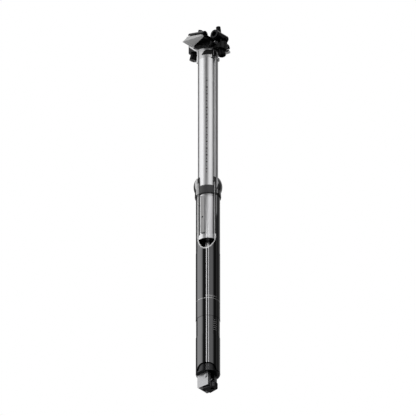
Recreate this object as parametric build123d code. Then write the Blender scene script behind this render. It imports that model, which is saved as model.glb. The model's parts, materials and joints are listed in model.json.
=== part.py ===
from build123d import *
import math
import os

os.makedirs("parts", exist_ok=True)

# A dropper seatpost, shown extended. Millimetres, +Z up the post.
# Z is zero at the minimum insertion line. +X is the front of the bicycle, +Y its left side.

# Running clearances and the overrun that every cut uses
RUN_GAP = 0.05
SLIDE_GAP = 0.3
OVERRUN = 2.0

# Outer tube, which goes into the frame's seat tube
TUBE_R = 15.8
TUBE_WALL = 1.6
TUBE_BOTTOM_Z = -104.0
WAIST_TOP_Z = -25.5
WAIST_LENGTH = 27.0
WAIST_DEPTH = 0.4
FOOT_ARCH_HEIGHT = 9.0
FOOT_ARCH_WIDTH = 26.0
FOOT_ARCH_CORNER_R = 8.5

# Collar at the top of the outer tube
COLLAR_UNDER_Z = 156.4
COLLAR_BEAD_HEIGHT = 7.0
COLLAR_BULB_HEIGHT = 17.2
COLLAR_BEAD_R = 16.9
COLLAR_BULB_R = 18.5
COLLAR_TOP_R = 16.2
COLLAR_NECK_R = 16.6
COLLAR_BREAK = 0.5

# Inspection window through the collar and the tube
WINDOW_HEADING = -61.0
WINDOW_PLANE_D = 9.8
WINDOW_HALF_WIDTH = 13.0
WINDOW_TAPER = -60.0
WINDOW_ROUND_Z = 96.6
RELIEF_DEPTH = 0.2
RELIEF_MARGIN = 1.2

# Inner tube
INNER_R = 13.0
INNER_WALL = 2.0
INNER_BOTTOM_Z = 89.7
INNER_TOP_Z = 356.6
BORE_TOP_DROP = 10.6
TRAVEL = 170.0

# Seals, bushings and keys
WIPER_HEIGHT = 7.0
WIPER_LIP_HEIGHT = 1.2
WIPER_LIP_R = 15.2
BUSH_HEIGHT = 12.0
BUSH_TOP_BELOW_COLLAR = 12.6
O_RING_WIRE_R = 0.9
GUIDE_HEIGHT = 6.0
KEY_WIDTH = 5.3
KEY_COUNT = 3
KEY_HEADING = -79.5
KEY_SEAT_R = 11.9
KEY_CREST_R = 14.7
KEY_BOTTOM_Z = 98.0
KEY_TOP_Z = 152.0
DOWEL_R = 1.25
DOWEL_SEAT_R = 11.2
DOWEL_Z = 121.0

# Lift cartridge inside the inner tube
CART_R = 10.2
CART_WALL = 1.5
CART_BOTTOM_Z = 94.0
CART_CROWN_HEIGHT = 12.0
CART_HEAD_HEIGHT = 8.0
GLAND_HEIGHT = 12.0
GLAND_LIP = 1.6
ROD_R = 5.0
ROD_BORE_R = 1.6
PISTON_HEIGHT = 8.0
PISTON_GAP = 4.0
FLOATER_HEIGHT = 9.0
FLOATER_Z = 238.0
BUMPER_HEIGHT = 8.0
END_RING_GAP = 2.0
PUSH_PIN_R = 1.5
PUSH_PIN_TOP_Z = 60.0

# Release mechanism at the foot
PLUG_HEIGHT = 13.0
PLUG_FLANGE_R = 15.2
PLUG_FLANGE_HEIGHT = 2.0
YOKE_WIDTH = 18.0
YOKE_SLOT_WIDTH = 7.0
YOKE_HEIGHT = 19.2
YOKE_LEFT = -10.3
YOKE_RIGHT = 7.4
YOKE_BLOCK_RIGHT = -2.6
YOKE_CHEEK_HEIGHT = 11.0
YOKE_CHAMFER = 1.2
LEVER_WIDTH = 6.2
LEVER_PIVOT_X = 3.6
LEVER_PIVOT_DROP = 5.4
LEVER_EYE_R = 3.0
LEVER_HOOK_X = 7.2
LEVER_HOOK_DROP = 10.4
LEVER_HOOK_R = 2.9
LEVER_PAD_R = 2.2
PIVOT_R = 1.4
PIVOT_HEAD_R = 2.2
PIVOT_HEAD_HEIGHT = 1.0
ANCHOR_R = 1.6
ANCHOR_LENGTH = 5.6
WIRE_HOLE_R = 0.8
STOP_FOOT_TOP_DROP = 15.7
STOP_FOOT_HEIGHT = 5.9
STOP_END_X = 8.5
STOP_END_R = 6.0
STOP_PLATE_HALF_WIDTH = 7.5
STOP_PLATE_THICKNESS = 2.4
STOP_STEP_X = 1.5
STOP_STEP_LENGTH = 3.0
STOP_RISER_DROP = 11.0
STOP_RISER_WIDTH = 3.6
STOP_RISER_HALF_WIDTH = 2.2
STOP_BORE_R = 2.55
STOP_BORE_DEPTH = 5.0
FOOT_SCREW_R = 1.5
FOOT_SCREW_HEAD_R = 2.7
FOOT_SCREW_HEAD_HEIGHT = 2.2
FOOT_SCREW_SEAT_HEIGHT = 8.0
FOOT_SCREW_GAP = 0.75
FOOT_SCREW_KEY_R = 1.2
FOOT_SCREW_X = -6.2

# Saddle clamp, drawn level and then tipped
CLAMP_TILT = 12.0
NECK_HEIGHT = 14.4
SEAT_R = 40.0
EAR_S = 23.0
EAR_END_R = 7.6
EAR_UNDER_HEIGHT = 1.0
EAR_SLOT_LENGTH = 4.0
NECK_WIDTH = 26.0
SCOOP_HEADING = 42.0
SCOOP_HEIGHT_UP = 4.4
SCOOP_HEIGHT = 7.0
SCOOP_DEPTH = 4.5
SCOOP_ROOF_DEPTH = 1.2
SCOOP_RIB = 8.0
RAIL_R = 3.5
RAIL_SPACING = 44.0
RAIL_HEIGHT = 14.0
SPLIT_GAP = 0.6
CRADLE_HALF_WIDTH = 29.0
CRADLE_MID_HEIGHT = 9.5
CRADLE_MID_REAR_S = -14.0
CRADLE_MID_FRONT_S = 13.0
CRADLE_MID_HALF_WIDTH = 13.0
WING_TIP_S = -20.0
WING_TIP_HEIGHT = 5.6
WING_REAR_S = -14.0
WING_REAR_HEIGHT = 10.2
WING_FRONT_S = 11.0
WING_FRONT_HEIGHT = 9.6
WING_LIP_HEIGHT = 11.8
WING_LIP_WIDTH = 2.4
KEEL_ROOT_Y = 11.0
KEEL_REAR_Y = 12.6
KEEL_FRONT_Y = 24.6
KEEL_FLAT_Y = 13.0
JAW_CROWN_R = 5.2
JAW_WEB_HEIGHT = 17.0
JAW_WEB_FRONT_S = 8.2
TAB_WALL = 1.6
TAB_UNDER_HEIGHT = 11.5
TAB_INNER_Y = 4.2
TAB_OUTER_Y = 9.5
TAB_OVERLAP = 2.0
BARREL_R = 5.9
BARREL_HALF_LENGTH = 11.0
BARREL_END_BORE_R = 3.4
BARREL_END_BORE_DEPTH = 7.0
BARREL_HEIGHT = 19.4
BARREL_FRONT_S = 15.6
BARREL_REAR_S = -21.0
BOLT_R = 3.0
BOLT_HEAD_R = 4.9
BOLT_HEAD_HEIGHT = 8.0
BOLT_KEY_R = 2.5
BOLT_KEY_DEPTH = 3.5
BOLT_FLUTES = 16
BOLT_FLUTE_R = 0.45
BOLT_TIP_HEIGHT = 33.5
HEAD_TOP_HEIGHT = -0.4
WASHER_R = 5.2
WASHER_FLOAT = 0.75
HEAD_SWING = 1.6

TUBE_BORE_R = TUBE_R - TUBE_WALL
BORE_TOP_Z = INNER_TOP_Z - BORE_TOP_DROP
CART_TOP_Z = BORE_TOP_Z - CART_CROWN_HEIGHT
CLAMP_Z = INNER_TOP_Z + NECK_HEIGHT
TUBE_TOP_Z = COLLAR_UNDER_Z + COLLAR_BEAD_HEIGHT + COLLAR_BULB_HEIGHT - WIPER_HEIGHT - SLIDE_GAP
COLLAR_TOP_Z = COLLAR_UNDER_Z + COLLAR_BEAD_HEIGHT + COLLAR_BULB_HEIGHT
INNER_BORE_R = INNER_R - INNER_WALL
CART_BORE_R = CART_R - CART_WALL


def save(node, shape):
    shape.label = node
    export_step(shape, "parts/" + node + ".step")
    box = shape.bounding_box()
    print(node, round(shape.volume, 1), [round(v, 2) for v in box.min], [round(v, 2) for v in box.max])


def disc(radius, low, high, x=0.0, y=0.0):
    return Pos(x, y, low) * extrude(Circle(radius), high - low)


def ring(outer, inner, low, high):
    return Pos(0, 0, low) * extrude(Circle(outer) - Circle(inner), high - low)


def block(x0, x1, y0, y1, z0, z1):
    outline = Pos((x0 + x1) / 2, (y0 + y1) / 2, z0) * Rectangle(x1 - x0, y1 - y0)
    return extrude(outline, z1 - z0)


def cross_disc(radius, x, z, y0, y1):
    face = Plane((x, y0, z), x_dir=(1, 0, 0), z_dir=(0, 1, 0)) * Circle(radius)
    return extrude(face, y1 - y0)


def side_plate(points, y0, y1):
    face = Plane((0, y1, 0), x_dir=(1, 0, 0), z_dir=(0, -1, 0)) * Polygon(*points, align=None)
    return extrude(face, y1 - y0)


def turned(points):
    return revolve(Plane.XZ * Polygon(*points, align=None), Axis.Z)


def in_clamp(shape):
    return Pos(0, 0, CLAMP_Z) * Rot(0, CLAMP_TILT, 0) * shape


def window_tool():
    round_r = WINDOW_HALF_WIDTH
    top = COLLAR_TOP_Z + OVERRUN + 2 * COLLAR_BULB_R
    height = top - WINDOW_ROUND_Z
    depth = COLLAR_BULB_R + OVERRUN - WINDOW_PLANE_D
    plane = Plane((WINDOW_PLANE_D, 0, WINDOW_ROUND_Z), x_dir=(0, 1, 0), z_dir=(1, 0, 0))
    outline = Circle(round_r) + Pos(0, height / 2) * Rectangle(2 * round_r, height)
    return Rot(0, 0, WINDOW_HEADING) * extrude(plane * outline, depth, taper=WINDOW_TAPER)


def window_low_z():
    spread = (TUBE_R - WINDOW_PLANE_D) * math.tan(math.radians(-WINDOW_TAPER))
    return WINDOW_ROUND_Z - WINDOW_HALF_WIDTH - spread


def key_headings():
    return [KEY_HEADING + i * 360 / KEY_COUNT for i in range(KEY_COUNT)]


def outer_tube(window):
    tube = ring(TUBE_R, TUBE_BORE_R, TUBE_BOTTOM_Z, TUBE_TOP_Z)
    waist_low = WAIST_TOP_Z - WAIST_LENGTH
    tube -= ring(TUBE_R + OVERRUN, TUBE_R - WAIST_DEPTH, waist_low, WAIST_TOP_Z)
    # The seat clamp may not pinch the tube beside the window, so it is a little slimmer there
    relief_low = window_low_z() - RELIEF_MARGIN
    tube -= ring(TUBE_R + OVERRUN, TUBE_R - RELIEF_DEPTH, relief_low, COLLAR_UNDER_Z - OVERRUN)
    for heading in key_headings():
        low = INNER_BOTTOM_Z - TRAVEL
        high = KEY_TOP_Z + SLIDE_GAP
        half = KEY_WIDTH / 2 + RUN_GAP
        tube -= Rot(0, 0, heading) * block(INNER_R, KEY_CREST_R + RUN_GAP, -half, half, low, high)
    arch_half = FOOT_ARCH_WIDTH / 2
    arch_top = TUBE_BOTTOM_Z + FOOT_ARCH_HEIGHT
    arch = block(0, TUBE_R + OVERRUN, -arch_half, arch_half, TUBE_BOTTOM_Z - OVERRUN, arch_top)
    upper = arch.edges().filter_by(Axis.X).group_by(Axis.Z)[-1]
    arch = fillet(upper, FOOT_ARCH_CORNER_R)
    tube -= Rot(0, 0, WINDOW_HEADING) * arch
    return tube - window


def collar(window):
    bead_top = COLLAR_UNDER_Z + COLLAR_BEAD_HEIGHT
    mid = bead_top + COLLAR_BULB_HEIGHT / 2
    with BuildSketch(Plane.XZ) as profile:
        with BuildLine():
            Polyline((TUBE_R, COLLAR_UNDER_Z), (COLLAR_BEAD_R - COLLAR_BREAK, COLLAR_UNDER_Z))
            Line(
                (COLLAR_BEAD_R - COLLAR_BREAK, COLLAR_UNDER_Z),
                (COLLAR_BEAD_R, COLLAR_UNDER_Z + COLLAR_BREAK))
            Line((COLLAR_BEAD_R, COLLAR_UNDER_Z + COLLAR_BREAK), (COLLAR_BEAD_R, bead_top - COLLAR_BREAK))
            Line((COLLAR_BEAD_R, bead_top - COLLAR_BREAK), (COLLAR_NECK_R, bead_top))
            ThreePointArc((COLLAR_NECK_R, bead_top), (COLLAR_BULB_R, mid), (COLLAR_TOP_R, COLLAR_TOP_Z))
            Line((COLLAR_TOP_R, COLLAR_TOP_Z), (WIPER_LIP_R + RUN_GAP, COLLAR_TOP_Z))
            Line((WIPER_LIP_R + RUN_GAP, COLLAR_TOP_Z), (WIPER_LIP_R + RUN_GAP, TUBE_TOP_Z))
            Line((WIPER_LIP_R + RUN_GAP, TUBE_TOP_Z), (TUBE_R, TUBE_TOP_Z))
            Line((TUBE_R, TUBE_TOP_Z), (TUBE_R, COLLAR_UNDER_Z))
        make_face()
    return revolve(profile.sketch, Axis.Z) - window


def wiper_seal(window):
    low = COLLAR_TOP_Z - WIPER_HEIGHT
    inner = INNER_R + RUN_GAP
    lip = COLLAR_TOP_Z + WIPER_LIP_HEIGHT
    points = [
        (inner, low),
        (WIPER_LIP_R, low),
        (WIPER_LIP_R, COLLAR_TOP_Z),
        (inner + WIPER_LIP_HEIGHT, COLLAR_TOP_Z),
        (inner + WIPER_LIP_HEIGHT / 2, lip),
        (inner, lip),
    ]
    return turned(points) - window


def bushing_bottom():
    return COLLAR_TOP_Z - BUSH_TOP_BELOW_COLLAR - BUSH_HEIGHT


def upper_bushing():
    low = bushing_bottom()
    return ring(TUBE_BORE_R - RUN_GAP / 5, INNER_R + RUN_GAP, low, low + BUSH_HEIGHT)


def collar_o_ring():
    z = COLLAR_UNDER_Z - O_RING_WIRE_R
    return Pos(0, 0, z) * Torus(TUBE_R + O_RING_WIRE_R / 2, O_RING_WIRE_R / 2)


def key_bar():
    return block(KEY_SEAT_R, KEY_CREST_R, -KEY_WIDTH / 2, KEY_WIDTH / 2, KEY_BOTTOM_Z, KEY_TOP_Z)


def keys():
    hole = Plane((0, 0, DOWEL_Z), z_dir=(1, 0, 0)) * Circle(DOWEL_R)
    bar = key_bar() - extrude(hole, KEY_CREST_R + OVERRUN)
    return [Rot(0, 0, heading) * bar for heading in key_headings()]


def dowels():
    face = Plane((DOWEL_SEAT_R, 0, DOWEL_Z), z_dir=(1, 0, 0)) * Circle(DOWEL_R)
    pin = extrude(face, KEY_CREST_R - RUN_GAP - DOWEL_SEAT_R)
    return [Rot(0, 0, heading) * pin for heading in key_headings()]


def seat_arc_tool():
    return cross_disc(SEAT_R, 0, SEAT_R, -CRADLE_HALF_WIDTH - OVERRUN, CRADLE_HALF_WIDTH + OVERRUN)


def seat_rise(s):
    return SEAT_R - math.sqrt(SEAT_R ** 2 - s ** 2)


def clamp_point(s, n):
    a = math.radians(CLAMP_TILT)
    return (s * math.cos(a) + n * math.sin(a), CLAMP_Z + n * math.cos(a) - s * math.sin(a))


def neck_side():
    end_s = EAR_S + EAR_END_R
    top_n = seat_rise(end_s) + OVERRUN
    rear_in = clamp_point(-EAR_S + EAR_END_R, EAR_UNDER_HEIGHT)
    rear_out = clamp_point(-end_s, EAR_UNDER_HEIGHT)
    rear_top = clamp_point(-end_s, top_n)
    front_top = clamp_point(end_s, top_n)
    front_out = clamp_point(end_s, EAR_UNDER_HEIGHT)
    front_in = clamp_point(EAR_S - EAR_END_R, EAR_UNDER_HEIGHT)
    low = INNER_TOP_Z
    rear_way = (math.cos(math.radians(CLAMP_TILT)), -math.sin(math.radians(CLAMP_TILT)))
    with BuildSketch(Plane.XZ) as profile:
        with BuildLine():
            Line((-INNER_R, low), (INNER_R, low))
            Spline((INNER_R, low), front_in, tangents=[(0, 1), rear_way])
            Polyline(front_in, front_out, front_top, rear_top, rear_out, rear_in)
            Spline(rear_in, (-INNER_R, low), tangents=[rear_way, (0, -1)])
        make_face()
    half = NECK_WIDTH / 2
    return Pos(0, half, 0) * extrude(profile.sketch, NECK_WIDTH)


def neck_plan():
    reach = EAR_S * math.cos(math.radians(CLAMP_TILT))
    outline = Circle(INNER_R)
    for way in (-1, 1):
        outline += Pos(way * reach, 0) * Circle(EAR_END_R)
        outline += Pos(way * reach / 2, 0) * Rectangle(reach, 2 * EAR_END_R)
    top = CLAMP_Z + SEAT_R
    return Pos(0, 0, INNER_TOP_Z) * extrude(outline, top - INNER_TOP_Z)


def scoops():
    low = INNER_TOP_Z + SCOOP_HEIGHT_UP
    high = low + SCOOP_HEIGHT
    reach = INNER_R + EAR_END_R
    points = [
        (INNER_R - SCOOP_DEPTH, low),
        (reach, low),
        (reach, high),
        (INNER_R - SCOOP_ROOF_DEPTH, high),
    ]
    wedge = side_plate(points, -INNER_R, INNER_R)
    both = Rot(0, 0, SCOOP_HEADING) * wedge + Rot(0, 0, -SCOOP_HEADING) * wedge
    half = SCOOP_RIB / 2
    return both - block(0, 2 * reach, -half, half, low - OVERRUN, high + OVERRUN)


def bolt_lines():
    rear = ((-EAR_S, HEAD_TOP_HEIGHT), (BARREL_REAR_S, BARREL_HEIGHT))
    front = ((EAR_S, HEAD_TOP_HEIGHT), (BARREL_FRONT_S, BARREL_HEIGHT))
    return {"rear": rear, "front": front}


def bolt_plane(end):
    (s0, n0), (s1, n1) = bolt_lines()[end]
    length = math.hypot(s1 - s0, n1 - n0)
    return Plane((s0, 0, n0), x_dir=(0, 1, 0), z_dir=((s1 - s0) / length, 0, (n1 - n0) / length))


def bolt_reach(end):
    (s0, n0), (s1, n1) = bolt_lines()[end]
    return math.hypot(s1 - s0, n1 - n0) * (BOLT_TIP_HEIGHT - n0) / (n1 - n0)


def on_bolt(end, sketch, low, high):
    return bolt_plane(end) * Pos(0, 0, low) * extrude(sketch, high - low)


def inner_tube():
    tube = disc(INNER_R, INNER_BOTTOM_Z, INNER_TOP_Z)
    neck = neck_side() & neck_plan()
    neck -= in_clamp(seat_arc_tool())
    neck -= scoops()
    for end in ("front", "rear"):
        wide = 2 * (BOLT_R + SLIDE_GAP)
        slot = Rot(0, 0, 90) * SlotOverall(wide + EAR_SLOT_LENGTH, wide)
        neck -= in_clamp(on_bolt(end, slot, -OVERRUN, seat_rise(EAR_S) + EAR_END_R))
        neck -= in_clamp(bolt_plane(end) * Sphere(WASHER_R + WASHER_FLOAT))
        neck -= in_clamp(on_bolt(end, Circle(BOLT_HEAD_R + HEAD_SWING), -BOLT_HEAD_HEIGHT - OVERRUN, 0))
    tube += neck
    tube -= disc(INNER_BORE_R, INNER_BOTTOM_Z - OVERRUN, BORE_TOP_Z)
    for heading in key_headings():
        half = KEY_WIDTH / 2
        tube -= Rot(0, 0, heading) * block(
            KEY_SEAT_R, INNER_R + OVERRUN, -half, half, KEY_BOTTOM_Z, KEY_TOP_Z)
        face = Plane((DOWEL_SEAT_R, 0, DOWEL_Z), z_dir=(1, 0, 0)) * Circle(DOWEL_R)
        tube -= Rot(0, 0, heading) * extrude(face, INNER_R)
    seat = INNER_R - INNER_WALL / 2
    tube -= ring(INNER_R + OVERRUN, seat, INNER_BOTTOM_Z - OVERRUN, INNER_BOTTOM_Z + GUIDE_HEIGHT)
    return tube


def guide_bushing():
    high = INNER_BOTTOM_Z + GUIDE_HEIGHT
    return ring(TUBE_BORE_R - RUN_GAP, INNER_R - INNER_WALL / 2, INNER_BOTTOM_Z, high)


def end_ring():
    low = INNER_BOTTOM_Z
    body = ring(INNER_BORE_R, ROD_R + END_RING_GAP, low, CART_BOTTOM_Z)
    for heading in range(0, 360, 90):
        half = GLAND_LIP / 2
        slot = block(ROD_R, INNER_BORE_R - GLAND_LIP, -half, half, low - OVERRUN, low + GLAND_LIP)
        body -= Rot(0, 0, heading + KEY_HEADING) * slot
    return body


def cartridge_tube():
    body = disc(CART_R, CART_BOTTOM_Z, CART_TOP_Z)
    body -= disc(CART_BORE_R, CART_BOTTOM_Z - OVERRUN, CART_TOP_Z - CART_HEAD_HEIGHT)
    return body


def cartridge_head():
    return disc(INNER_BORE_R, CART_TOP_Z, BORE_TOP_Z)


def gland():
    top = CART_BOTTOM_Z + GLAND_HEIGHT
    return ring(CART_BORE_R, ROD_R + RUN_GAP, CART_BOTTOM_Z, top)


def piston_z():
    return CART_BOTTOM_Z + GLAND_HEIGHT + PISTON_GAP


def piston_ring():
    z = piston_z()
    return ring(CART_BORE_R - RUN_GAP, ROD_R, z, z + PISTON_HEIGHT)


def rod_bottom_z():
    return TUBE_BOTTOM_Z + PLUG_HEIGHT / 4


def rod():
    body = disc(ROD_R, rod_bottom_z(), piston_z() + PISTON_HEIGHT)
    body -= disc(ROD_BORE_R, rod_bottom_z() - OVERRUN, PUSH_PIN_TOP_Z + PISTON_HEIGHT)
    return body


def floating_piston():
    body = disc(CART_BORE_R - RUN_GAP, FLOATER_Z, FLOATER_Z + FLOATER_HEIGHT)
    cup = disc(CART_BORE_R / 2, FLOATER_Z + FLOATER_HEIGHT / 2, FLOATER_Z + FLOATER_HEIGHT + OVERRUN)
    groove_low = FLOATER_Z + FLOATER_HEIGHT / 3
    groove = ring(CART_R, CART_BORE_R - GLAND_LIP, groove_low, groove_low + GLAND_LIP)
    return body - cup - groove


def floating_seal():
    groove_low = FLOATER_Z + FLOATER_HEIGHT / 3
    return ring(CART_BORE_R - RUN_GAP, CART_BORE_R - GLAND_LIP, groove_low, groove_low + GLAND_LIP)


def plug_top_z():
    return TUBE_BOTTOM_Z + PLUG_HEIGHT


def bumper():
    low = plug_top_z()
    return ring(ROD_R + GLAND_LIP * 2, ROD_R, low, low + BUMPER_HEIGHT)


def plug_floor_z():
    return TUBE_BOTTOM_Z - PLUG_FLANGE_HEIGHT


def plug():
    body = disc(TUBE_BORE_R - RUN_GAP / 5, TUBE_BOTTOM_Z, plug_top_z())
    body += disc(PLUG_FLANGE_R, plug_floor_z(), TUBE_BOTTOM_Z)
    body -= disc(ROD_R, rod_bottom_z(), plug_top_z() + OVERRUN)
    body -= disc(LEVER_WIDTH / 2, plug_floor_z() - OVERRUN, plug_top_z())
    body -= disc(FOOT_SCREW_R, plug_floor_z() - OVERRUN, foot_screw_top_z(), FOOT_SCREW_X)
    return body


def yoke_floor_z():
    return plug_floor_z() - YOKE_HEIGHT


def pivot_z():
    return plug_floor_z() - LEVER_PIVOT_DROP


def hook_z():
    return plug_floor_z() - LEVER_HOOK_DROP


def foot_screw_top_z():
    return rod_bottom_z() - FOOT_SCREW_GAP


def yoke():
    top = plug_floor_z()
    low = yoke_floor_z()
    half = YOKE_WIDTH / 2
    points = [
        (YOKE_LEFT, top),
        (YOKE_LEFT, low + YOKE_CHAMFER),
        (YOKE_LEFT + YOKE_CHAMFER, low),
        (YOKE_RIGHT, low),
        (YOKE_RIGHT, top),
    ]
    body = side_plate(points, -half, half)
    body &= disc(PLUG_FLANGE_R - SLIDE_GAP, low - OVERRUN, top)
    slot_half = YOKE_SLOT_WIDTH / 2
    body -= block(YOKE_BLOCK_RIGHT, TUBE_R, -slot_half, slot_half, low - OVERRUN, top + OVERRUN)
    body -= block(YOKE_BLOCK_RIGHT, TUBE_R, 0, half + OVERRUN, low - OVERRUN, top - YOKE_CHEEK_HEIGHT)
    body -= cross_disc(PIVOT_R, LEVER_PIVOT_X, pivot_z(), -YOKE_WIDTH, YOKE_WIDTH)
    screw_seat = low + FOOT_SCREW_SEAT_HEIGHT
    body -= disc(FOOT_SCREW_R, low - OVERRUN, top + OVERRUN, FOOT_SCREW_X)
    body -= disc(FOOT_SCREW_HEAD_R + RUN_GAP, low - OVERRUN, screw_seat, FOOT_SCREW_X)
    return body


def foot_screw():
    seat = yoke_floor_z() + FOOT_SCREW_SEAT_HEIGHT
    head = disc(FOOT_SCREW_HEAD_R, seat - FOOT_SCREW_HEAD_HEIGHT, seat, FOOT_SCREW_X)
    shank = disc(FOOT_SCREW_R, seat, foot_screw_top_z(), FOOT_SCREW_X)
    low = seat - FOOT_SCREW_HEAD_HEIGHT
    key = extrude(RegularPolygon(FOOT_SCREW_KEY_R, 6), FOOT_SCREW_HEAD_HEIGHT / 2)
    socket = Pos(FOOT_SCREW_X, 0, low) * key
    return head + shank - socket


def lever():
    half = LEVER_WIDTH / 2
    eye = cross_disc(LEVER_EYE_R, LEVER_PIVOT_X, pivot_z(), -half, half)
    hook = cross_disc(LEVER_HOOK_R, LEVER_HOOK_X, hook_z(), -half, half)
    pad_z = push_pin_bottom_z() - LEVER_PAD_R - RUN_GAP
    pad = cross_disc(LEVER_PAD_R, 0, pad_z, -half, half)
    arm = side_plate([
        (LEVER_PIVOT_X - LEVER_EYE_R, pivot_z()),
        (LEVER_HOOK_X - LEVER_HOOK_R, hook_z()),
        (LEVER_HOOK_X, hook_z()),
        (LEVER_HOOK_X, hook_z() + LEVER_HOOK_R),
        (LEVER_PIVOT_X + LEVER_EYE_R, pivot_z()),
    ], -half, half)
    reach = side_plate([
        (0, pad_z - LEVER_PAD_R),
        (LEVER_PIVOT_X, pivot_z() - LEVER_EYE_R),
        (LEVER_PIVOT_X, pivot_z() + LEVER_PAD_R),
        (0, pad_z + LEVER_PAD_R),
    ], -half, half)
    body = eye + hook + pad + arm + reach
    body -= cross_disc(PIVOT_R + RUN_GAP, LEVER_PIVOT_X, pivot_z(), -YOKE_WIDTH, YOKE_WIDTH)
    body -= cross_disc(ANCHOR_R + RUN_GAP, LEVER_HOOK_X, hook_z(), -YOKE_WIDTH, YOKE_WIDTH)
    mouth_low = hook_z() - ANCHOR_R + LEVER_PAD_R / 4
    mouth_high = hook_z() + ANCHOR_R - LEVER_PAD_R / 4
    body -= block(LEVER_HOOK_X, TUBE_R + OVERRUN, -half - OVERRUN, half + OVERRUN, mouth_low, mouth_high)
    slit = WIRE_HOLE_R + RUN_GAP
    under = hook_z() - LEVER_HOOK_R - OVERRUN
    body -= block(LEVER_HOOK_X - slit, TUBE_R + OVERRUN, -slit, slit, under, hook_z())
    return body


def push_pin_bottom_z():
    return pivot_z() + LEVER_PAD_R


def push_pin():
    return disc(PUSH_PIN_R, push_pin_bottom_z(), PUSH_PIN_TOP_Z)


def pivot_pin():
    half = YOKE_WIDTH / 2
    z = pivot_z()
    shank = cross_disc(PIVOT_R, LEVER_PIVOT_X, z, -half, half + PIVOT_HEAD_HEIGHT)
    head = cross_disc(PIVOT_HEAD_R, LEVER_PIVOT_X, z, -half - PIVOT_HEAD_HEIGHT, -half)
    return shank + head


def pivot_clip():
    half = YOKE_WIDTH / 2
    z = pivot_z()
    outer = cross_disc(PIVOT_HEAD_R, LEVER_PIVOT_X, z, half, half + PIVOT_HEAD_HEIGHT / 2)
    return outer - cross_disc(PIVOT_R, LEVER_PIVOT_X, z, half - OVERRUN, half + OVERRUN)


def anchor_barrel():
    half = ANCHOR_LENGTH / 2
    body = cross_disc(ANCHOR_R, LEVER_HOOK_X, hook_z(), -half, half)
    body -= disc(WIRE_HOLE_R, hook_z() - ANCHOR_R - OVERRUN, hook_z() + ANCHOR_R + OVERRUN, LEVER_HOOK_X)
    return body


def stop_foot():
    top = plug_floor_z() - STOP_FOOT_TOP_DROP
    low = top - STOP_FOOT_HEIGHT
    wide = STOP_PLATE_HALF_WIDTH
    end_x = STOP_END_X + STOP_END_R
    step = low + STOP_PLATE_THICKNESS
    profile = [
        (YOKE_BLOCK_RIGHT, low),
        (end_x, low),
        (end_x, top),
        (STOP_STEP_X + STOP_STEP_LENGTH, top),
        (STOP_STEP_X, step),
        (YOKE_BLOCK_RIGHT, step),
    ]
    plan = Polygon(
        (YOKE_BLOCK_RIGHT, -wide),
        (STOP_END_X, -STOP_END_R),
        (STOP_END_X, STOP_END_R),
        (YOKE_BLOCK_RIGHT, wide),
        align=None)
    plan += Pos(STOP_END_X, 0) * Circle(STOP_END_R)
    body = side_plate(profile, -wide, wide) & (Pos(0, 0, low) * extrude(plan, STOP_FOOT_HEIGHT))
    cheek = YOKE_SLOT_WIDTH / 2 - SLIDE_GAP
    body -= block(YOKE_BLOCK_RIGHT, YOKE_RIGHT + SLIDE_GAP, -TUBE_R, -cheek, yoke_floor_z(), top + OVERRUN)
    riser_right = YOKE_BLOCK_RIGHT + STOP_RISER_WIDTH
    riser_half = STOP_RISER_HALF_WIDTH
    riser_top = plug_floor_z() - STOP_RISER_DROP
    body += block(YOKE_BLOCK_RIGHT, riser_right, -riser_half, riser_half, low, riser_top)
    body -= disc(STOP_BORE_R, low - OVERRUN, low + STOP_BORE_DEPTH, LEVER_HOOK_X)
    body -= disc(WIRE_HOLE_R, low, top + OVERRUN, LEVER_HOOK_X)
    return body


def rail_bar(radius, way, rear_s, front_s):
    face = Plane((rear_s, way * RAIL_SPACING / 2, RAIL_HEIGHT), z_dir=(1, 0, 0)) * Circle(radius)
    return extrude(face, front_s - rear_s)


def wing_profile(top):
    return [
        (WING_TIP_S, WING_TIP_HEIGHT),
        (WING_FRONT_S, WING_FRONT_HEIGHT),
        (WING_FRONT_S, top),
        (WING_REAR_S, top),
        (WING_REAR_S, WING_REAR_HEIGHT),
    ]


def keel(way):
    plan = Polygon(
        (WING_REAR_S, way * KEEL_ROOT_Y), (WING_REAR_S, way * KEEL_REAR_Y),
        (WING_FRONT_S, way * KEEL_FRONT_Y), (WING_FRONT_S, way * KEEL_ROOT_Y), align=None)
    rise = WING_FRONT_HEIGHT
    face = Plane((WING_REAR_S, 0, 0), x_dir=(0, 1, 0), z_dir=(1, 0, 0)) * Polygon(
        (way * KEEL_ROOT_Y, 0), (way * KEEL_FLAT_Y, 0), (way * KEEL_FRONT_Y, rise), (way * KEEL_ROOT_Y, rise),
        align=None)
    return extrude(plan, rise) & extrude(face, WING_FRONT_S - WING_REAR_S)


def lower_cradle():
    wide = CRADLE_HALF_WIDTH
    mid = CRADLE_MID_HALF_WIDTH
    split = RAIL_HEIGHT - SPLIT_GAP
    body = block(CRADLE_MID_REAR_S, CRADLE_MID_FRONT_S, -mid, mid, 0, CRADLE_MID_HEIGHT)
    for way in (-1, 1):
        y0, y1 = sorted((way * KEEL_ROOT_Y, way * wide))
        body += side_plate(wing_profile(WING_LIP_HEIGHT), y0, y1)
        y0, y1 = sorted((way * KEEL_ROOT_Y, way * (wide - WING_LIP_WIDTH)))
        body += side_plate(wing_profile(split), y0, y1)
        body += keel(way)
    body &= Pos(0, 0, SEAT_R) * Rot(90, 0, 0) * Cylinder(SEAT_R - RUN_GAP, 2 * wide + OVERRUN)
    for way in (-1, 1):
        body -= rail_bar(RAIL_R, way, WING_TIP_S - OVERRUN, WING_FRONT_S + OVERRUN)
    return body


def jaw_web(way, inner_y, outer_y, s0, s1, low):
    y0, y1 = sorted((way * inner_y, way * outer_y))
    return block(s0, s1, y0, y1, low, JAW_WEB_HEIGHT)


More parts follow.
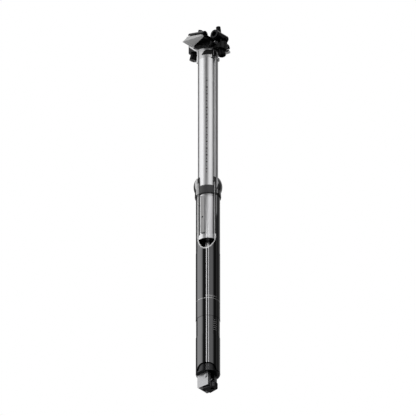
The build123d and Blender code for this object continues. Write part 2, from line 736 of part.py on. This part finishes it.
def jaw(way):
    split = RAIL_HEIGHT + SPLIT_GAP
    reach_s = EAR_S + EAR_END_R
    body = rail_bar(JAW_CROWN_R, way, WING_REAR_S, WING_FRONT_S)
    body += jaw_web(way, TAB_OUTER_Y, RAIL_SPACING / 2, WING_REAR_S, JAW_WEB_FRONT_S, split)
    y0, y1 = sorted((way * (CRADLE_MID_HALF_WIDTH - SPLIT_GAP), way * CRADLE_HALF_WIDTH))
    body -= block(-reach_s, reach_s, y0, y1, 0, split)
    rear_in = BARREL_REAR_S + BARREL_R - TAB_OVERLAP
    front_in = BARREL_FRONT_S - BARREL_R + TAB_OVERLAP
    body += jaw_web(way, TAB_INNER_Y, TAB_OUTER_Y, rear_in, front_in, TAB_UNDER_HEIGHT)
    y0, y1 = sorted((way * TAB_INNER_Y, way * TAB_OUTER_Y))
    for s in (BARREL_FRONT_S, BARREL_REAR_S):
        tab = cross_disc(BARREL_R + TAB_WALL, s, BARREL_HEIGHT, y0, y1)
        body += tab - block(-2 * reach_s, 2 * reach_s, y0, y1, BARREL_HEIGHT, 2 * BARREL_HEIGHT)
    reach = BARREL_HALF_LENGTH + SLIDE_GAP
    for s in (BARREL_FRONT_S, BARREL_REAR_S):
        body -= cross_disc(BARREL_R + RUN_GAP, s, BARREL_HEIGHT, -reach, reach)
    return body - rail_bar(RAIL_R, way, -reach_s, reach_s)


def barrel(end):
    s = BARREL_FRONT_S if end == "front" else BARREL_REAR_S
    half = BARREL_HALF_LENGTH
    body = cross_disc(BARREL_R, s, BARREL_HEIGHT, -half, half)
    for way in (-1, 1):
        y0, y1 = sorted((way * (half - BARREL_END_BORE_DEPTH), way * (half + OVERRUN)))
        body -= cross_disc(BARREL_END_BORE_R, s, BARREL_HEIGHT, y0, y1)
    body -= on_bolt(end, Circle(BOLT_R + RUN_GAP), 0, bolt_reach(end) + OVERRUN)
    return body


def bolt(end):
    head = Circle(BOLT_HEAD_R)
    for i in range(BOLT_FLUTES):
        head -= Rot(0, 0, i * 360 / BOLT_FLUTES) * Pos(BOLT_HEAD_R, 0) * Circle(BOLT_FLUTE_R)
    body = on_bolt(end, head, -BOLT_HEAD_HEIGHT, 0)
    body += on_bolt(end, Circle(BOLT_R), 0, bolt_reach(end))
    body -= on_bolt(end, RegularPolygon(BOLT_KEY_R, 6), -BOLT_HEAD_HEIGHT, -BOLT_HEAD_HEIGHT + BOLT_KEY_DEPTH)
    return body


def washer(end):
    dome = bolt_plane(end) * Sphere(WASHER_R)
    return dome & on_bolt(end, Circle(WASHER_R) - Circle(BOLT_R), 0, WASHER_R)


window = window_tool()
save("outer_tube", outer_tube(window))
save("collar", collar(window))
save("wiper_seal", wiper_seal(window))
save("upper_bushing", upper_bushing())
save("collar_o_ring", collar_o_ring())
save("inner_tube", inner_tube())
for name, bar in zip(("key_a", "key_b", "key_c"), keys()):
    save(name, bar)
save("key_dowels", Compound(children=dowels()))
save("guide_bushing", guide_bushing())
save("end_ring", end_ring())
save("cartridge_tube", cartridge_tube())
save("cartridge_head", cartridge_head())
save("gland", gland())
save("piston_ring", piston_ring())
save("rod", rod())
save("floating_piston", floating_piston())
save("floating_seal", floating_seal())
save("bumper", bumper())
save("plug", plug())
save("yoke", yoke())
save("foot_screw", foot_screw())
save("lever", lever())
save("push_pin", push_pin())
save("pivot_pin", pivot_pin())
save("pivot_clip", pivot_clip())
save("anchor_barrel", anchor_barrel())
save("stop_foot", stop_foot())
save("lower_cradle", in_clamp(lower_cradle()))
save("jaw_right", in_clamp(jaw(-1)))
save("jaw_left", in_clamp(jaw(1)))
for end in ("front", "rear"):
    save("barrel_" + end, in_clamp(barrel(end)))
    save("bolt_" + end, in_clamp(bolt(end)))
    save("washer_" + end, in_clamp(washer(end)))
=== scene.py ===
# %% [markdown]
# # A dropper seatpost, seen from below
# The shapes come from the imported model, so this lesson is about light, camera and finish.
# The model is loaded first, and its box is kept.

# %% Load the model
import bpy
import json
import math
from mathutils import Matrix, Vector


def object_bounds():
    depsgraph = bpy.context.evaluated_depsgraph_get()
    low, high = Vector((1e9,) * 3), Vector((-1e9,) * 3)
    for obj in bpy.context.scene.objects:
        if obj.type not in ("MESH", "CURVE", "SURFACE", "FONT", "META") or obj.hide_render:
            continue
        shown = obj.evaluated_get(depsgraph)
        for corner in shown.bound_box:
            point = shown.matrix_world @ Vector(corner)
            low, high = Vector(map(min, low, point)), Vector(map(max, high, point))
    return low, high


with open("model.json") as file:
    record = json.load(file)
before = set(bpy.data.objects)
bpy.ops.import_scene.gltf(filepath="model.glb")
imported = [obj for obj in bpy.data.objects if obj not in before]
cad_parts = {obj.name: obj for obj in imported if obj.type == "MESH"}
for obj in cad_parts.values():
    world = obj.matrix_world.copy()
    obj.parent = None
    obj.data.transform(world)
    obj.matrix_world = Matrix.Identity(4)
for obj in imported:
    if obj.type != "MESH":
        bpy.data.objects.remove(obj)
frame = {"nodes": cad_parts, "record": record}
cad_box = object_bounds()
nodes = frame["nodes"]
print("nodes", len(nodes), "box", [[round(v, 4) for v in c] for c in cad_box])

# %% [markdown]
# ## The camera
# The photograph has no taper, so the lens is very long. An orthographic camera gives the same picture.
# The rings of the post open downwards by half their width, which puts the camera 30 degrees below the post.
# One pixel is 1.279 mm, and the frame is 416 pixels across.

# %% Camera
AZIMUTH = 40.0
ELEVATION = -30.0
PIXEL = 0.001279
FRAME_PIXELS = 416
TARGET = (0.0, 0.0, 0.1414)
CAMERA_DISTANCE = 3.0
CLIP_END = 20

azimuth = math.radians(AZIMUTH)
elevation = math.radians(ELEVATION)
toward = (math.sin(azimuth), -math.cos(azimuth), 0.0)
right = (math.cos(azimuth), math.sin(azimuth), 0.0)
level = math.cos(elevation)
back = Vector((toward[0] * level, toward[1] * level, math.sin(elevation)))

cam = bpy.data.cameras.new("camera")
cam.type = "ORTHO"
cam.ortho_scale = FRAME_PIXELS * PIXEL
cam.clip_end = CLIP_END
camera = bpy.data.objects.new("camera", cam)
bpy.context.scene.collection.objects.link(camera)
camera.location = Vector(TARGET) + back * CAMERA_DISTANCE
camera.rotation_euler = back.to_track_quat("Z", "Y").to_euler()
bpy.context.scene.camera = camera
bpy.context.scene.view_settings.view_transform = "Standard"
print("camera", [round(v, 3) for v in camera.location])

# %% [markdown]
# ## A small language for shader maths
# Writing Math nodes by hand is slow to read. This class wraps a socket, so that an expression such as
# 1 - mask * 0.5 adds the nodes itself. One method adds any other node.

# %% The shader helper
class Value:
    """A socket of a node tree, with the arithmetic operators adding Math nodes."""

    def __init__(self, tree, socket):
        self.tree = tree
        self.socket = socket

    def math(self, operation, *others):
        node = self.tree.nodes.new("ShaderNodeMath")
        node.operation = operation
        for i, item in enumerate((self,) + others):
            if isinstance(item, Value):
                self.tree.links.new(item.socket, node.inputs[i])
            else:
                node.inputs[i].default_value = item
        return Value(self.tree, node.outputs[0])

    def of(self, number):
        node = self.tree.nodes.new("ShaderNodeValue")
        node.outputs[0].default_value = number
        return Value(self.tree, node.outputs[0])

    def __add__(self, o): return self.math("ADD", o)
    def __radd__(self, o): return self.math("ADD", o)
    def __sub__(self, o): return self.math("SUBTRACT", o)
    def __rsub__(self, o): return self.of(o).math("SUBTRACT", self)
    def __mul__(self, o): return self.math("MULTIPLY", o)
    def __rmul__(self, o): return self.math("MULTIPLY", o)
    def __truediv__(self, o): return self.math("DIVIDE", o)
    def __gt__(self, o): return self.math("GREATER_THAN", o)
    def __lt__(self, o): return self.math("LESS_THAN", o)
    def __mod__(self, o): return self.math("FLOORED_MODULO", o)
    def abs(self): return self.math("ABSOLUTE")
    def most(self, o): return self.math("MAXIMUM", o)
    def least(self, o): return self.math("MINIMUM", o)

    def ramp(self, low, high):
        """Rises smoothly from 0 at low to 1 at high."""
        return self.node("ShaderNodeMapRange", {"interpolation_type": "SMOOTHSTEP"},
                         Value=self, **{"From Min": low, "From Max": high}).pick("Result")

    def node(self, kind, settings=None, **sockets):
        """Any node of the same tree, with its settings and its inputs by name."""
        node = self.tree.nodes.new(kind)
        for key, item in (settings or {}).items():
            setattr(node, key, item)
        for key, item in sockets.items():
            target = node.inputs[key]
            if isinstance(item, Value):
                self.tree.links.new(item.socket, target)
            else:
                target.default_value = item
        return Node(self.tree, node)

    def dot(self, direction):
        node = self.tree.nodes.new("ShaderNodeVectorMath")
        node.operation = "DOT_PRODUCT"
        self.tree.links.new(self.socket, node.inputs[0])
        node.inputs[1].default_value = direction
        return Value(self.tree, node.outputs["Value"])


class Node(Value):
    """A node whose outputs are picked by name. Used as a Value, it stands for its first output."""

    def __init__(self, tree, made):
        self.tree = tree
        self.made = made
        self.socket = made.outputs[0] if len(made.outputs) else None

    def pick(self, name):
        return Value(self.tree, self.made.outputs[name])


def start(tree):
    """A Value without a socket, from which the first nodes of a tree are made."""
    return Value(tree, None)


print("shader helpers", [kind.__name__ for kind in (Value, Node)])

# %% [markdown]
# ## The light
# A real studio surrounds a polished tube with tall softboxes and dark gaps, and the tube shows them as long
# stripes. They could be lamps, but a lamp has ends that show. The broad softboxes are therefore written
# into the world by their heading, so each shows the same from top to bottom.
# Only camera rays see plain white.

# %% Softboxes
# heading from the camera direction, half width, soft edge, strength
SOFTBOXES = [
    (-88.0, 14.0, 30.0, 1.14),
    (22.0, 14.0, 22.0, 0.5),
    (92.0, 4.0, 8.0, 0.07),
    (138.0, 8.0, 14.0, 0.24),
    (178.0, 14.0, 12.0, 1.0),
]
world = bpy.data.worlds.new("studio")
bpy.context.scene.world = world
world.use_nodes = True
tree = world.node_tree
tree.nodes.clear()
w = start(tree)
direction = w.node("ShaderNodeTexCoord").pick("Generated")
ahead = direction.dot(toward)
side = direction.dot(right)
up = direction.dot((0, 0, 1))
flat = (ahead * ahead + side * side).math("SQRT") + 0.0001


def softbox(heading, half, soft):
    """One inside the box's heading, falling smoothly to 0 past its edge."""
    h = math.radians(heading)
    cosine = (ahead * math.cos(h) + side * math.sin(h)) / flat
    return cosine.ramp(math.cos(math.radians(half + soft)), math.cos(math.radians(half)))


print("softboxes", len(SOFTBOXES))

# %% [markdown]
# ## The dark below
# The upper half of the room is bright and the lower half is nearly dark, which keeps black metal black
# when it is seen from below. Matt surfaces still get a little fill from there, as from a pale floor.

# %% World
# heights are sines: -1 is straight down, 0 is level and 1 is straight up
CEILING = (0.55, 1.0)
CEILING_STRENGTH = 0.6
WALL = 0.03
HORIZON = (-0.25, 0.05)
UPPER_SHARE = 0.6
DUSK = (-0.42, -0.28)
DUSK_SHARE = 0.3
LOWEST_SHARE = 0.1
MATT_FILL = 0.4

glow = up.ramp(*CEILING) * CEILING_STRENGTH + WALL
for heading, half, soft, strength in SOFTBOXES:
    glow = glow + softbox(heading, half, soft) * strength
above = up.ramp(*HORIZON)
path = w.node("ShaderNodeLightPath")
fill = path.pick("Is Diffuse Ray") * (1 - above) * MATT_FILL
share = up.ramp(*DUSK) * DUSK_SHARE + LOWEST_SHARE
glow = glow * (share + above * UPPER_SHARE) + fill
seen = path.pick("Is Camera Ray")
lit = w.node("ShaderNodeBackground", Color=(1, 1, 1, 1), Strength=glow * (1 - seen) + seen)
out = tree.nodes.new("ShaderNodeOutputWorld")
tree.links.new(lit.socket, out.inputs["Surface"])
print("world nodes", len(tree.nodes))

# %% [markdown]
# ## Strip lights
# The two tubes show different stripes, so narrow lights stand near the post, each at its own height.
# A vertical tube sends the camera's ray up at 30 degrees. A strip that hangs higher than a stretch of tube
# by that slope is mirrored by that stretch alone.

# %% Strips
STRIP_DISTANCE = 0.35
STRIP_RISE = STRIP_DISTANCE * math.tan(-elevation)
BLACK_STRETCH = (-0.16, 0.085)
SILVER_STRETCH = (0.12, 0.42)
ENERGY_PER_RADIANCE = 4  # an area light of energy E and area A shines with a radiance of E / 4A

# name, heading from the camera direction, half width, stretch of tube lit, radiance
STRIPS = [
    ("line_left", -14.6, 2.6, BLACK_STRETCH, 3.6),
    ("line_right", 4.8, 2.2, BLACK_STRETCH, 2.5),
    ("panel_left", -48.0, 18.0, SILVER_STRETCH, 0.4),
    ("panel_right", 30.0, 22.0, SILVER_STRETCH, 0.42),
    ("panel_far", 86.0, 9.0, SILVER_STRETCH, 0.5),
]


def strip(name, heading, half, stretch, radiance):
    h = math.radians(heading)
    low, high = stretch
    way = Vector(toward) * math.cos(h) + Vector(right) * math.sin(h)
    lamp = bpy.data.lights.new(name, "AREA")
    lamp.shape = "RECTANGLE"
    lamp.size = 2 * STRIP_DISTANCE * math.tan(math.radians(half))
    lamp.size_y = high - low
    lamp.energy = ENERGY_PER_RADIANCE * radiance * lamp.size * lamp.size_y
    made = bpy.data.objects.new(name, lamp)
    bpy.context.scene.collection.objects.link(made)
    made.location = way * STRIP_DISTANCE + Vector((0, 0, (low + high) / 2 + STRIP_RISE))
    made.rotation_euler = way.to_track_quat("Z", "Y").to_euler()
    made.visible_camera = False
    return lamp


print("strips", [round(strip(*row).energy, 3) for row in STRIPS])

# %% [markdown]
# ## The floor
# The camera is below the foot of the post, so an ordinary floor would hide it.
# This floor lets a ray from below through, and is pale and plain for every ray that comes from above.

# %% Floor
FLOOR_GAP = 0.001
FLOOR_HALF = 3
FLOOR_GREY = (0.92, 0.92, 0.92, 1)
SQUARE = ((-1, -1), (1, -1), (1, 1), (-1, 1))

floor_z = cad_box[0][2] - FLOOR_GAP
mesh = bpy.data.meshes.new("floor")
mesh.from_pydata([(x * FLOOR_HALF, y * FLOOR_HALF, floor_z) for x, y in SQUARE], [], [(0, 1, 2, 3)])
floor = bpy.data.objects.new("floor", mesh)
bpy.context.scene.collection.objects.link(floor)
mat = bpy.data.materials.new("floor")
mat.use_nodes = True
tree = mat.node_tree
tree.nodes.clear()
w = start(tree)
paint = w.node("ShaderNodeBsdfDiffuse", Color=FLOOR_GREY)
clear = w.node("ShaderNodeBsdfTransparent")
under = w.node("ShaderNodeNewGeometry").pick("Backfacing")
mix = tree.nodes.new("ShaderNodeMixShader")
for socket, item in zip(mix.inputs, (under, paint, clear)):
    tree.links.new(item.socket, socket)
out = tree.nodes.new("ShaderNodeOutputMaterial")
tree.links.new(mix.outputs[0], out.inputs["Surface"])
mesh.materials.append(mat)
floor.visible_glossy = False
print("floor at", round(floor_z, 4))

# %% [markdown]
# ## Finishes
# Each finish is one function. It starts a material, works out what changes over the surface,
# and gives that to the shader. Fixed numbers are set on the shader's own sockets.

# %% Starting a finish
def begin(name):
    mat = bpy.data.materials.new(name)
    mat.use_nodes = True
    tree = mat.node_tree
    shader = tree.nodes["Principled BSDF"]
    w = start(tree)
    place = w.node("ShaderNodeTexCoord").pick("Object")
    return mat, shader, w, place


def feed(shader, name, item):
    if isinstance(item, Value):
        item.tree.links.new(item.socket, shader.inputs[name])
    else:
        shader.inputs[name].default_value = item


def grain(w, place, scale, detail=3.0, stretch=(1, 1, 1)):
    """Noise between 0 and 1 over the object's own coordinates, stretched by a Mapping node."""
    stretched = w.node("ShaderNodeMapping", Vector=place, Scale=stretch)
    return w.node("ShaderNodeTexNoise", Vector=stretched, Scale=scale, Detail=detail).pick("Fac")


def bumped(w, shader, height, distance, strength=0.25, normal=None):
    made = w.node("ShaderNodeBump", Height=height, Strength=strength, Distance=distance)
    if normal:
        made.tree.links.new(normal.socket, made.made.inputs["Normal"])
    made.tree.links.new(made.made.outputs["Normal"], shader.inputs["Normal"])


print("a finish starts from", list(bpy.data.materials.keys()))

# %% [markdown]
# ## Mixing
# Blender's Mix node keeps the sockets for numbers, vectors and colours side by side under the same names,
# so they are taken by their number: A and B are 4 and 5 for vectors, 6 and 7 for colours.
# A tube is a mesh of long flat strips, and a mirror-like stripe would show their edges.
# Where a surface is round, its true normal is known from its place, and that is used instead.

# %% Mix helpers
MIX_FACTOR = 0
MIX_VECTORS, MIXED_VECTOR = (4, 5), 1
MIX_COLOURS, MIXED_COLOUR = (6, 7), 2
ROUND_WITHIN = 0.97  # cosine of the angle up to which a facet counts as a part of the tube


def round_normal(w, x, y):
    """The normal (x, y, 0) / r where the surface is a round tube, and the mesh's own elsewhere."""
    radial = w.node("ShaderNodeVectorMath", {"operation": "NORMALIZE"},
                    Vector=w.node("ShaderNodeCombineXYZ", X=x, Y=y, Z=0.0).pick("Vector"))
    geometry = w.node("ShaderNodeNewGeometry")
    facing = w.node("ShaderNodeVectorMath", {"operation": "DOT_PRODUCT"}, Vector=radial)
    w.tree.links.new(geometry.pick("True Normal").socket, facing.made.inputs[1])
    mix = w.node("ShaderNodeMix", {"data_type": "VECTOR"}).made
    w.tree.links.new((facing.pick("Value") > ROUND_WITHIN).socket, mix.inputs[MIX_FACTOR])
    for i, item in zip(MIX_VECTORS, (geometry.pick("Normal"), radial.pick("Vector"))):
        w.tree.links.new(item.socket, mix.inputs[i])
    return Value(w.tree, mix.outputs[MIXED_VECTOR])


def shade(w, dark, light, mask):
    """The colour dark where mask is 0 and light where it is 1."""
    mix = w.node("ShaderNodeMix", {"data_type": "RGBA"}).made
    for i, colour in zip(MIX_COLOURS, (dark, light)):
        mix.inputs[i].default_value = (*colour, 1)
    w.tree.links.new(mask.socket, mix.inputs[MIX_FACTOR])
    return Value(w.tree, mix.outputs[MIXED_COLOUR])


print("mixes by sockets", MIX_VECTORS, MIX_COLOURS)

# %% [markdown]
# ## Places on the post
# Marks and cut faces are found by formula from the place on the part.
# An image would blur when seen close up, and a formula stays sharp.

# %% Place helpers
CAMERA_HEADING = AZIMUTH - 90.0


def parts_of(place, w):
    node = w.node("ShaderNodeSeparateXYZ", Vector=place)
    return node.pick("X"), node.pick("Y"), node.pick("Z")


def turned_to(x, y, heading):
    """Metres out along the heading, in degrees, and metres across it to the left."""
    h = math.radians(heading)
    return x * math.cos(h) + y * math.sin(h), y * math.cos(h) - x * math.sin(h)


def heading_of(x, y):
    """Degrees round the post from the camera, from -180 to 180."""
    along, across = turned_to(x, y, CAMERA_HEADING)
    return across.math("ARCTAN2", along) * (180 / math.pi)


def near(item, centre, half):
    """One where item is within half of centre."""
    return (item - centre).abs() < half


print("camera heading", CAMERA_HEADING)

# %% [markdown]
# ## The window's bare faces
# The display post has a side cut away by a nearly flat cut with flared sides, and the cut shows bare metal.
# The right face turns away from the light in the photograph, so it is dimmed.

# %% Window faces
WINDOW_HEADING = -61.0
WINDOW_D = 0.0098
WINDOW_HALF = 0.013
WINDOW_ROUND_Z = 0.0966
WINDOW_FLARE = math.tan(math.radians(60.0))
FLARE_BAND = 0.0004
PLANE_BAND = 0.0003
PAINTED_SHADE_FROM = 0.0110
PAINTED_SHADE_SHARE = 0.97


def rim_of(x, y, z):
    """One on the cut: its plane, and its sides, where reach = half width + (d - plane) tan 60 degrees."""
    d, c = turned_to(x, y, WINDOW_HEADING)
    drop = (z - WINDOW_ROUND_Z).least(0.0)
    reach = (c * c + drop * drop).math("SQRT")
    flared = near(reach - (d - WINDOW_D) * WINDOW_FLARE, WINDOW_HALF, FLARE_BAND) * (d > WINDOW_D)
    plane = near(d, WINDOW_D, PLANE_BAND) * (reach < WINDOW_HALF + FLARE_BAND)
    # painted shade: the cut face on the right is darkened to the tube's own colour, for the shade it lies
    # in
    right_face_painted_shade = (c > PAINTED_SHADE_FROM) * (z > WINDOW_ROUND_Z)
    return flared.most(plane) * (1 - right_face_painted_shade * PAINTED_SHADE_SHARE)


print("window at", WINDOW_HEADING, "degrees,", WINDOW_D, "m from the axis")

# %% [markdown]
# ## Black outer tube
# Anodised aluminium is a dark metal under a clear oxide skin, so it reflects like metal but dimly.
# The minimum insertion line and the depth marks on the waist are laser marks:
# pale, a little rough, and very thin.

# %% Outer tube finish
# each pair is a centre and a half width, in metres of height or in degrees round the post
LASER_HALF = 0.00022
BARE_METAL = (0.78, 0.78, 0.78)
LINE_Z = 0.0
TICK_ROW = (0.0035, 0.0011)
TICK_TURN = (18.0, 30.0)
TICK_STEP = 4.0
TICK_HALF = 0.45
WAIST_ROW = (-0.039, 0.0085)
WAIST_TURN = (36.0, 10.0)
WAIST_STEP = 0.003
WAIST_SHIFT = 0.2


def black_tube():
    mat, shader, w, place = begin("black_tube")
    x, y, z = parts_of(place, w)
    turn = heading_of(x, y)
    fine = grain(w, place, 900.0, 4.0, (1, 1, 0.2))
    broad = grain(w, place, 35.0)
    line = near(z, LINE_Z, LASER_HALF)
    tick = near((turn + 180.0) % TICK_STEP, TICK_STEP / 2, TICK_HALF)
    ticks = tick * near(z, *TICK_ROW) * near(turn, *TICK_TURN)
    rung = near((z + WAIST_SHIFT) % WAIST_STEP, WAIST_STEP / 2, LASER_HALF)
    rungs = rung * near(z, *WAIST_ROW) * near(turn, *WAIST_TURN)
    mark = (line + ticks + rungs + rim_of(x, y, z)).least(1.0)
    feed(shader, "Base Color", shade(w, (0.18, 0.18, 0.184), BARE_METAL, mark))
    feed(shader, "Metallic", 1.0)
    feed(shader, "Roughness", 0.04 + fine * 0.02 + broad * 0.015 + mark * 0.36)
    feed(shader, "Normal", round_normal(w, x, y))
    return mat


finishes = {"black_tube": black_tube()}
print("black tube nodes", len(finishes["black_tube"].node_tree.nodes))

# %% [markdown]
# ## The clamp's own directions
# The saddle clamp leans forward by 12 degrees, so its faces are found in directions that lean with it.

# %% Clamp directions
CLAMP_TILT = math.radians(12.0)
CLAMP_Z = 0.371


def clamp_frame(x, z):
    """s forward along the clamp and n away from its seat, both in metres."""
    rise = z - CLAMP_Z
    s = x * math.cos(CLAMP_TILT) - rise * math.sin(CLAMP_TILT)
    n = x * math.sin(CLAMP_TILT) + rise * math.cos(CLAMP_TILT)
    return s, n


print("clamp leans", round(math.degrees(CLAMP_TILT)), "degrees")

# %% [markdown]
# ## Darkened ears, and painted shade in the scoops
# The photograph shows the forging's two ears and the scoops in its neck as black, so they are blackened.
# A second material could do it face by face, but a mask inside the one material can cut across faces
# and end softly.

# %% Ears and scoops
EARS_FROM_Z = 0.36
FRONT_EAR_S = 0.0125
FRONT_EAR_EDGE = 0.003
REAR_EAR_S = -0.0150
REAR_EAR_EDGE = 0.002
REAR_TOP_N, REAR_TOP_S, REAR_TOP_SLOPE = 0.0056, -0.024, 0.6
REAR_TOP_EDGE = 0.001
SCOOP_SHADE_WITHIN_R = 0.0128
SCOOP_SHADE_Z = (0.365, 0.0044)
SCOOP_SHADE_FROM_X = -0.002


def darkened_ears_and_scoop_shade(x, y, z):
    s, n = clamp_frame(x, z)
    front_ear = (s - FRONT_EAR_S).ramp(0.0, FRONT_EAR_EDGE)
    rear_top = REAR_TOP_N - (s - REAR_TOP_S) * REAR_TOP_SLOPE
    rear_ear = (REAR_EAR_S - s).ramp(0.0, REAR_EAR_EDGE) * (1 - (n - rear_top).ramp(0.0, REAR_TOP_EDGE))
    inside = (x * x + y * y) < SCOOP_SHADE_WITHIN_R ** 2
    # painted shade: the scoops in the neck are darkened as a painted dark reflection in their hollow
    scoop_shade = inside * near(z, *SCOOP_SHADE_Z) * (x > SCOOP_SHADE_FROM_X)
    return ((front_ear + rear_ear) * (z > EARS_FROM_Z)).most(scoop_shade).least(1.0)


print("ears from", EARS_FROM_Z, "m up")

# %% [markdown]
# ## Silver inner tube
# The inner tube is ground and hard anodised. The grind goes round the tube, too fine to see as lines,
# but it spreads the reflections. Two rows of laser marks run down it to show the saddle height.
# The forged neck above it is a little greyer and rougher than the ground part.

# %% Inner tube finish
SILVER = (0.74, 0.74, 0.75)
SILVER_BLACK = (0.025, 0.025, 0.025)
FORGED_FROM_Z = 0.3566
FORGED_GREY = 0.2
MARKED_Z = (0.256, 0.071)
FINE_STEP, FINE_TICK, FINE_TURN = 0.005, (0.0025, 0.0007), (-9.0, 2.4)
LONG_STEP, LONG_TICK, LONG_TURN = 0.010, (0.0025, 0.0008), (-7.0, 5.0)
NEAR_LINE, NEAR_LINE_SHARE = (-5.0, 0.8), 0.6
FAR_LINE, FAR_LINE_SHARE = (35.0, 0.9), 0.5
SPECK_FROM = 0.42


def silver_tube():
    mat, shader, w, place = begin("silver_tube")
    x, y, z = parts_of(place, w)
    turn = heading_of(x, y)
    forged = z > FORGED_FROM_Z
    rings = grain(w, place, 300.0, 3.0, (0.4, 0.4, 6.0))
    speck = grain(w, place, 700.0, 2.0)
    fine = near(turn, *FINE_TURN) * near(z % FINE_STEP, *FINE_TICK)
    long = near(turn, *LONG_TURN) * near(z % LONG_STEP, *LONG_TICK)
    lines = near(turn, *NEAR_LINE) * NEAR_LINE_SHARE + near(turn, *FAR_LINE) * FAR_LINE_SHARE
    mark = ((fine + long + lines) * near(z, *MARKED_Z)).least(1.0) * (speck > SPECK_FROM)
    # dark takes the laser marks, the darkened ears, the painted shade in the scoops and the greyer forging
    dark = mark.most(darkened_ears_and_scoop_shade(x, y, z)).most(forged * FORGED_GREY)
    feed(shader, "Base Color", shade(w, SILVER, SILVER_BLACK, dark))
    feed(shader, "Metallic", 1.0)
    feed(shader, "Roughness", 0.27 + rings * 0.06 + mark * 0.3 + forged * 0.1)
    bumped(w, shader, rings, 0.00001, 0.2, round_normal(w, x, y))
    return mat


finishes["silver_tube"] = silver_tube()
print("silver tube nodes", len(finishes["silver_tube"].node_tree.nodes))

# %% [markdown]
# ## Other metals, plastics and rubber
# These share one recipe: a base colour that wanders a little, a roughness that follows a fine grain,
# and a shallow bump. What differs is how metallic, how dark and how smooth each one is.

# %% Plain finishes
COLOUR_SPREAD = 0.08
BROAD_SHARE = 20.0

# name: base colour, metallic, roughness, scale of the grain, depth of the bump
PLAIN = {
    "black_collar": ((0.05, 0.05, 0.052), 1.0, 0.26, 900.0, 0.00002),
    "clamp_black": ((0.016, 0.016, 0.017), 1.0, 0.26, 800.0, 0.00002),
    "steel_black": ((0.016, 0.016, 0.017), 1.0, 0.28, 700.0, 0.00002),
    "steel_bright": ((0.62, 0.62, 0.63), 1.0, 0.25, 700.0, 0.00001),
    "seal_rubber": ((0.012, 0.012, 0.012), 0.0, 0.55, 600.0, 0.00003),
    "bush_black": ((0.035, 0.035, 0.037), 0.0, 0.45, 600.0, 0.00002),
    "key_metal": ((0.36, 0.36, 0.36), 1.0, 0.40, 600.0, 0.00002),
    "silver_block": ((0.52, 0.52, 0.53), 1.0, 0.42, 700.0, 0.00002),
    "cartridge_alu": ((0.55, 0.55, 0.56), 1.0, 0.32, 700.0, 0.00001),
}


def plain(name, colour, metallic, rough, scale, depth):
    mat, shader, w, place = begin(name)
    fine = grain(w, place, scale, 4.0)
    broad = grain(w, place, scale / BROAD_SHARE)
    darker = tuple(c * (1 - COLOUR_SPREAD) for c in colour)
    lighter = tuple(min(1.0, c * (1 + COLOUR_SPREAD)) for c in colour)
    feed(shader, "Base Color", shade(w, darker, lighter, broad))
    feed(shader, "Metallic", metallic)
    feed(shader, "Roughness", rough + (fine - 0.5) * 0.12 + (broad - 0.5) * 0.06)
    bumped(w, shader, fine, depth)
    return mat


for name, recipe in PLAIN.items():
    finishes[name] = plain(name, *recipe)
print("plain finishes", len(PLAIN))

# %% [markdown]
# ## Collar
# The collar is satin black all over, and the window's cut goes through it, so the same bare faces show.

# %% Collar finish
def collar():
    mat, shader, w, place = begin("black_collar")
    x, y, z = parts_of(place, w)
    fine = grain(w, place, 900.0, 4.0)
    rim = rim_of(x, y, z)
    feed(shader, "Base Color", shade(w, (0.24, 0.24, 0.244), BARE_METAL, rim))
    feed(shader, "Metallic", 1.0)
    feed(shader, "Roughness", 0.14 + fine * 0.06 + rim * 0.26)
    return mat


finishes["collar"] = collar()
print("collar", finishes["collar"].name)

# %% [markdown]
# ## Cradle
# The cradle is black, but the outer face of each wing is painted a pale matt grey, which is painted light:
# the lit look of that face is put into its colour.
# The grey ends along the keel's edge, a straight line that spreads forwards.

# %% Cradle finish
KEEL_Y, KEEL_S, KEEL_SLOPE = 0.0128, -0.014, 0.48
PAINTED_LIGHT_BELOW_N = 0.0119
OUTWARD_FROM = -0.1


def cradle():
    mat, shader, w, place = begin("cradle_black")
    x, y, z = parts_of(place, w)
    s, n = clamp_frame(x, z)
    fine = grain(w, place, 800.0, 4.0)
    facing = w.node("ShaderNodeNewGeometry").pick("True Normal").dot((0, 1, 0))
    outward = (facing * y.math("SIGN")) > OUTWARD_FROM
    edge = y.abs() - (s - KEEL_S) * KEEL_SLOPE
    # painted light: the outer wing faces get a pale, matt colour for their lit look
    painted_light_face = (edge > KEEL_Y) * (n < PAINTED_LIGHT_BELOW_N) * outward
    feed(shader, "Base Color", shade(w, (0.035, 0.035, 0.036), (0.5, 0.5, 0.5), painted_light_face))
    feed(shader, "Metallic", 1.0 - painted_light_face * 0.75)
    feed(shader, "Roughness", 0.24 + fine * 0.1 + painted_light_face * 0.22)
    bumped(w, shader, fine, 0.00002)
    return mat


finishes["cradle_black"] = cradle()
print("cradle", finishes["cradle_black"].name)

# %% [markdown]
# ## Dressing the pieces
# Each piece carries the name of its material in the model's record. A few look different in the photograph
# from the others that share their name, and those are given their own finish here.

# %% Dress
OWN_FINISH = {
    "lower_cradle": "cradle_black",
    "collar": "collar",
    "pivot_pin": "silver_block",
    "pivot_clip": "steel_black",
    "guide_bushing": "silver_tube",
    "end_ring": "steel_bright",
    "gland": "cartridge_alu",
    "key_dowels": "steel_black",
}
for part in frame["record"]["subparts"]:
    piece = nodes[part["node"]]
    piece.data.materials.clear()
    piece.data.materials.append(finishes[OWN_FINISH.get(part["node"], part["material_slot"])])
